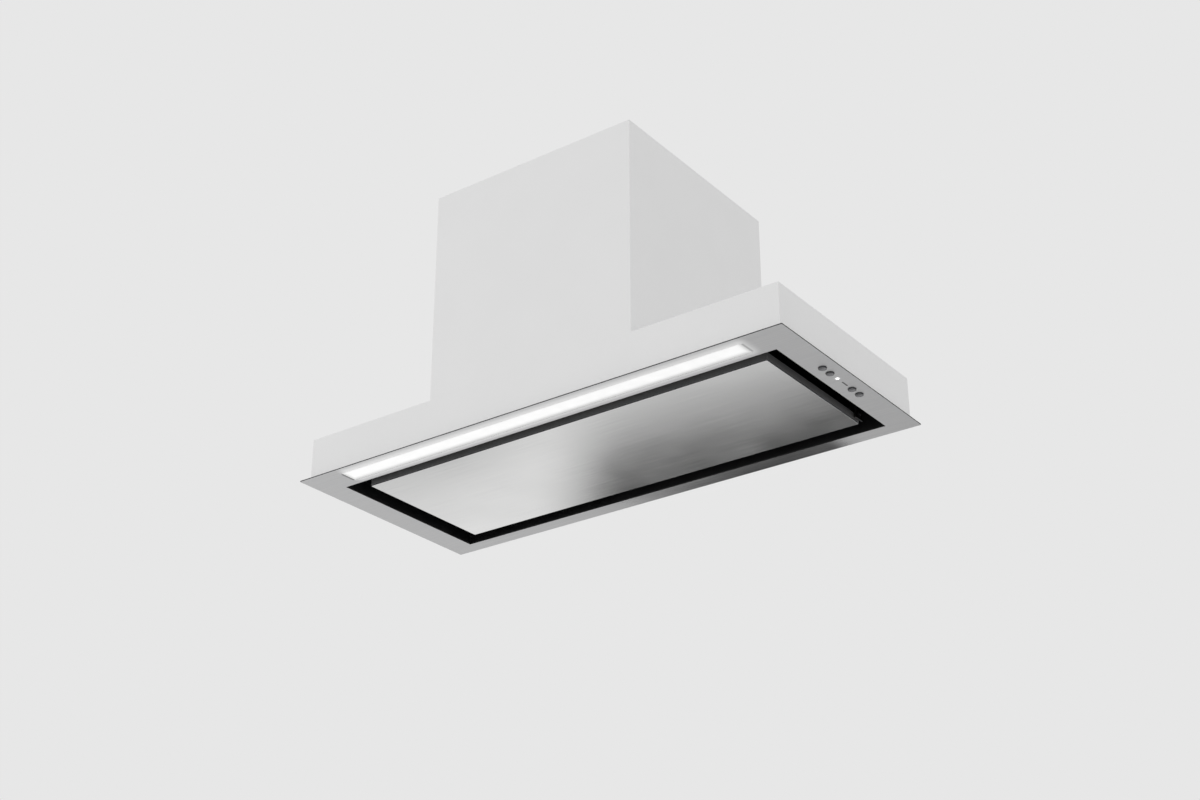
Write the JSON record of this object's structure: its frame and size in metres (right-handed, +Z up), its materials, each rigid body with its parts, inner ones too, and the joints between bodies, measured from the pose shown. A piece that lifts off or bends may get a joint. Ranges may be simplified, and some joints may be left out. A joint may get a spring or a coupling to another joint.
{
  "type": "built-in range hood",
  "caption": "Built-in ceiling range hood: stainless face plate with a perimeter suction panel, light strip and push buttons, under a shallow casing with a blower tower.",
  "frame": {"origin": "centre of the plane where the face plate's lip bears on the board above it, in the middle of the cut-out", "axes": "+X to the user's right along the width, -Y towards the user, +Z up towards the duct"},
  "size_m": [0.86, 0.38, 0.4673],
  "materials": {
    "stainless": "brushed along the width",
    "black_enamel": "black satin coat",
    "casing_paint": "pale grey powder coat",
    "galvanised_sheet": "galvanised sheet",
    "filter_aluminium": "mill aluminium",
    "diffuser_acrylic": "opal, lit from behind",
    "led_phosphor": "phosphor",
    "circuit_board": "solder mask",
    "black_plastic": "moulded",
    "white_plastic": "moulded",
    "zinc_steel": "zinc plated",
    "magnet": "sintered ferrite",
    "cast_aluminium": "die cast",
    "lamination_steel": "stacked sheet",
    "rubber": "smooth"
  },
  "bodies": {
    "root": {"face_plate": "stainless", "keypad_housing": "black_plastic", "keypad_board": "circuit_board", "indicator_lens": "diffuser_acrylic", "light_diffuser": "diffuser_acrylic", "light_channel": "filter_aluminium", "light_board": "circuit_board", "light_chips": "led_phosphor", "light_driver": "white_plastic", "lower_casing": "casing_paint", "tower_wrap": "casing_paint", "tower_rear_cover": "casing_paint", "top_cover": "casing_paint", "corner_posts": "galvanised_sheet", "screws": "zinc_steel", "intake_liner": "black_enamel", "filter_rail": "black_enamel", "filter_frame_left": "filter_aluminium", "filter_mesh_left": "filter_aluminium", "filter_frame_right": "filter_aluminium", "filter_mesh_right": "filter_aluminium", "latch_covers": "black_enamel", "latch_keepers": "black_enamel", "hinge_brackets": "black_enamel", "catch_holders": "black_plastic", "catch_magnets": "magnet", "blower_wrap": "galvanised_sheet", "blower_side_left": "galvanised_sheet", "blower_side_right": "galvanised_sheet", "motor_stator": "lamination_steel", "motor_housing": "cast_aluminium", "motor_bearings": "zinc_steel", "motor_bracket": "galvanised_sheet", "motor_bushes": "rubber", "motor_capacitor": "cast_aluminium", "capacitor_strap": "galvanised_sheet", "control_box": "black_plastic", "control_box_lid": "black_plastic", "control_board": "circuit_board", "duct_collar": "galvanised_sheet", "flap_pin": "zinc_steel", "cable_gland": "black_plastic", "wiring_loom": "rubber"},
    "panel": {"panel_skin": "stainless", "panel_back": "galvanised_sheet", "panel_stiffeners": "galvanised_sheet", "hinge_pins": "zinc_steel", "hinge_clips": "zinc_steel"},
    "fan": {"impeller": "black_plastic", "impeller_hub": "galvanised_sheet", "motor_shaft": "zinc_steel", "motor_rotor": "lamination_steel"},
    "flap_left": {"duct_flap_left": "filter_aluminium"},
    "flap_right": {"duct_flap_right": "filter_aluminium"},
    "latch_left": {"filter_latch_left": "filter_aluminium"},
    "latch_right": {"filter_latch_right": "filter_aluminium"},
    "button_1": {"button_1": "stainless"},
    "button_2": {"button_2": "stainless"},
    "button_3": {"button_3": "stainless"},
    "button_4": {"button_4": "stainless"}
  },
  "joints": [
    {"name": "panel_hinge", "type": "hinge", "parent": "root", "child": "panel", "pos_m": [0, 0.13205, 0.0125], "axis": [1, 0, 0], "range_deg": [0, 85]},
    {"name": "fan_spin", "type": "hinge", "parent": "root", "child": "fan", "pos_m": [0, -0.045, 0.238], "axis": [1, 0, 0], "continuous": true},
    {"name": "flap_left_hinge", "type": "hinge", "parent": "root", "child": "flap_left", "pos_m": [0, 0.049, 0.4259], "axis": [0, 1, 0], "range_deg": [0, 80]},
    {"name": "flap_right_hinge", "type": "hinge", "parent": "root", "child": "flap_right", "pos_m": [0, 0.049, 0.4259], "axis": [0, -1, 0], "range_deg": [0, 80]},
    {"name": "latch_left_slide", "type": "slide", "parent": "root", "child": "latch_left", "axis": [0, 1, 0], "range_m": [0, 0.005], "stiffness_N_per_m": 300},
    {"name": "latch_right_slide", "type": "slide", "parent": "root", "child": "latch_right", "axis": [0, 1, 0], "range_m": [0, 0.005], "stiffness_N_per_m": 300},
    {"name": "button_1_press", "type": "slide", "parent": "root", "child": "button_1", "axis": [0, 0, 1], "range_m": [0, 0.0015], "stiffness_N_per_m": 500},
    {"name": "button_2_press", "type": "slide", "parent": "root", "child": "button_2", "axis": [0, 0, 1], "range_m": [0, 0.0015], "stiffness_N_per_m": 500},
    {"name": "button_3_press", "type": "slide", "parent": "root", "child": "button_3", "axis": [0, 0, 1], "range_m": [0, 0.0015], "stiffness_N_per_m": 500},
    {"name": "button_4_press", "type": "slide", "parent": "root", "child": "button_4", "axis": [0, 0, 1], "range_m": [0, 0.0015], "stiffness_N_per_m": 500}
  ]
}
